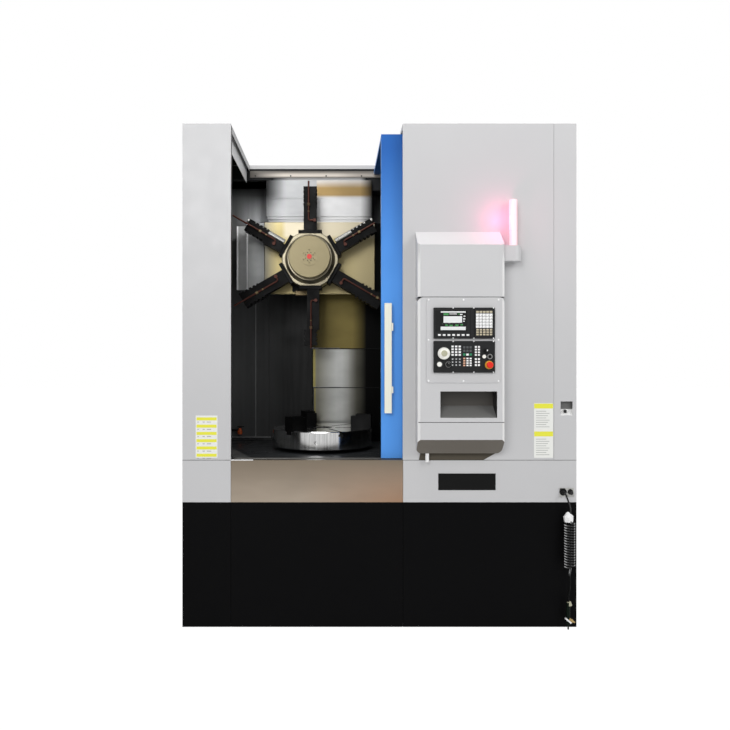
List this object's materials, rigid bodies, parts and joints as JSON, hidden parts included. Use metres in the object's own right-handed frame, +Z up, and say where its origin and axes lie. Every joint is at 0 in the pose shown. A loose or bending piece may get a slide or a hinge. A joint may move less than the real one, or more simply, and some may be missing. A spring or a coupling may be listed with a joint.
{
  "type": "vertical turning centre with sliding door",
  "caption": "CNC vertical lathe for drums and discs: enclosure with sliding door, polygonal tool turret on a saddle, jaw chuck and control pendant.",
  "frame": {"origin": "on the floor under the middle of the enclosure's footprint", "axes": "+Z up, +X to the right seen from the front, the front faces -Y"},
  "size_m": [2.74, 2.506, 3.5],
  "materials": {
    "grey_paint": "satin",
    "black_paint": "satin",
    "blue_paint": "gloss",
    "cream_paint": "gloss",
    "inner_paint": "satin",
    "casting_paint": "painted",
    "stainless": "brushed",
    "cover_steel": "brushed",
    "machined_steel": "machined",
    "dark_steel": "blackened",
    "copper": "polished",
    "black_plastic": "fine texture",
    "white_plastic": "smooth",
    "red_plastic": "smooth",
    "lamp": "translucent",
    "window_glass": "clear",
    "hose": "smooth",
    "gun_body": "smooth"
  },
  "bodies": {
    "machine": {"base_casting": "casting_paint", "base_skirts": "black_paint", "grey_aprons": "grey_paint", "stainless_apron": "stainless", "left_pillar": "grey_paint", "front_panel": "grey_paint", "corner_panel": "grey_paint", "outer_panels": "grey_paint", "roof": "grey_paint", "column": "casting_paint", "floor_pan": "inner_paint", "inner_walls": "inner_paint", "door_sill": "stainless", "top_beam": "inner_paint", "door_top_rail": "stainless", "lower_cover_fixed": "cover_steel", "upper_cover_fixed": "cover_steel", "spindle_housing": "dark_steel", "pendant_hood": "grey_paint", "pendant_box": "grey_paint", "control_plate": "grey_paint", "screen_unit": "black_plastic", "operator_panel": "black_plastic", "stack_bracket": "grey_paint", "stack_light": "lamp", "latch": "grey_paint", "air_socket": "machined_steel", "air_hose_lead": "hose", "air_hose_coil": "hose", "air_hose_tail": "hose", "air_gun": "gun_body"},
    "door": {"door_panel": "blue_paint", "door_lid": "blue_paint", "door_window": "window_glass", "door_handle": "cream_paint"},
    "z_saddle": {"saddle": "casting_paint", "lower_cover_top": "cover_steel", "upper_cover_low": "cover_steel", "cross_cover_ends": "cover_steel"},
    "lower_cover": {"lower_cover_mid": "cover_steel"},
    "upper_cover": {"upper_cover_mid": "cover_steel"},
    "x_slide": {"cross_slide": "machined_steel", "turret_housing": "dark_steel"},
    "left_cover": {"cross_cover_left": "cover_steel"},
    "right_cover": {"cross_cover_right": "cover_steel"},
    "turret": {"turret_disc": "machined_steel", "turret_cap": "machined_steel", "tool_holders": "dark_steel", "tool_bars": "machined_steel", "coolant_pipes": "copper"},
    "chuck": {"chuck_body": "machined_steel"},
    "jaw_a": {"jaw_1": "dark_steel"},
    "jaw_b": {"jaw_2": "dark_steel"},
    "jaw_c": {"jaw_3": "dark_steel"},
    "handwheel": {"handwheel": "white_plastic"},
    "override_knob": {"override_knob": "black_plastic"},
    "emergency_stop": {"emergency_stop": "red_plastic"}
  },
  "joints": [
    {"name": "door_slide", "type": "slide", "parent": "machine", "child": "door", "axis": [1, 0, 0], "range_m": [-1.065, 0]},
    {"name": "z_slide", "type": "slide", "parent": "machine", "child": "z_saddle", "axis": [0, 0, 1], "range_m": [-0.5, 0]},
    {"name": "lower_cover_slide", "type": "slide", "parent": "machine", "child": "lower_cover", "axis": [0, 0, 1], "range_m": [-0.25, 0]},
    {"name": "upper_cover_slide", "type": "slide", "parent": "machine", "child": "upper_cover", "axis": [0, 0, 1], "range_m": [-0.25, 0]},
    {"name": "x_slide", "type": "slide", "parent": "z_saddle", "child": "x_slide", "axis": [1, 0, 0], "range_m": [0, 0.5]},
    {"name": "left_cover_slide", "type": "slide", "parent": "z_saddle", "child": "left_cover", "axis": [1, 0, 0], "range_m": [0, 0.25]},
    {"name": "right_cover_slide", "type": "slide", "parent": "z_saddle", "child": "right_cover", "axis": [1, 0, 0], "range_m": [0, 0.25]},
    {"name": "turret_index", "type": "hinge", "parent": "x_slide", "child": "turret", "pos_m": [-0.511, -0.325, 2.663], "axis": [0, 1, 0], "continuous": true},
    {"name": "spindle", "type": "hinge", "parent": "machine", "child": "chuck", "pos_m": [-0.416, -0.35, 1.2], "axis": [0, 0, 1], "continuous": true},
    {"name": "jaw_a_slide", "type": "slide", "parent": "chuck", "child": "jaw_a", "axis": [0.9903, -0.1392, 0], "range_m": [-0.09, 0]},
    {"name": "jaw_b_slide", "type": "slide", "parent": "chuck", "child": "jaw_b", "axis": [-0.3746, 0.9272, 0], "range_m": [-0.09, 0]},
    {"name": "jaw_c_slide", "type": "slide", "parent": "chuck", "child": "jaw_c", "axis": [-0.6157, -0.788, 0], "range_m": [-0.09, 0]},
    {"name": "handwheel_turn", "type": "hinge", "parent": "machine", "child": "handwheel", "pos_m": [0.421, -1.32, 1.9], "axis": [0, 1, 0], "continuous": true},
    {"name": "override_turn", "type": "hinge", "parent": "machine", "child": "override_knob", "pos_m": [0.453, -1.32, 1.826], "axis": [0, 1, 0], "range_deg": [-135, 135]},
    {"name": "stop_press", "type": "slide", "parent": "machine", "child": "emergency_stop", "axis": [0, 1, 0], "range_m": [0, 0.006], "stiffness_N_per_m": 600}
  ],
  "couplings": [
    {"joint": "lower_cover_slide", "follows": "z_slide", "ratio": 0.5},
    {"joint": "upper_cover_slide", "follows": "z_slide", "ratio": 0.5},
    {"joint": "left_cover_slide", "follows": "x_slide", "ratio": 0.5},
    {"joint": "right_cover_slide", "follows": "x_slide", "ratio": 0.5},
    {"joint": "jaw_b_slide", "follows": "jaw_a_slide", "ratio": 1},
    {"joint": "jaw_c_slide", "follows": "jaw_a_slide", "ratio": 1}
  ]
}
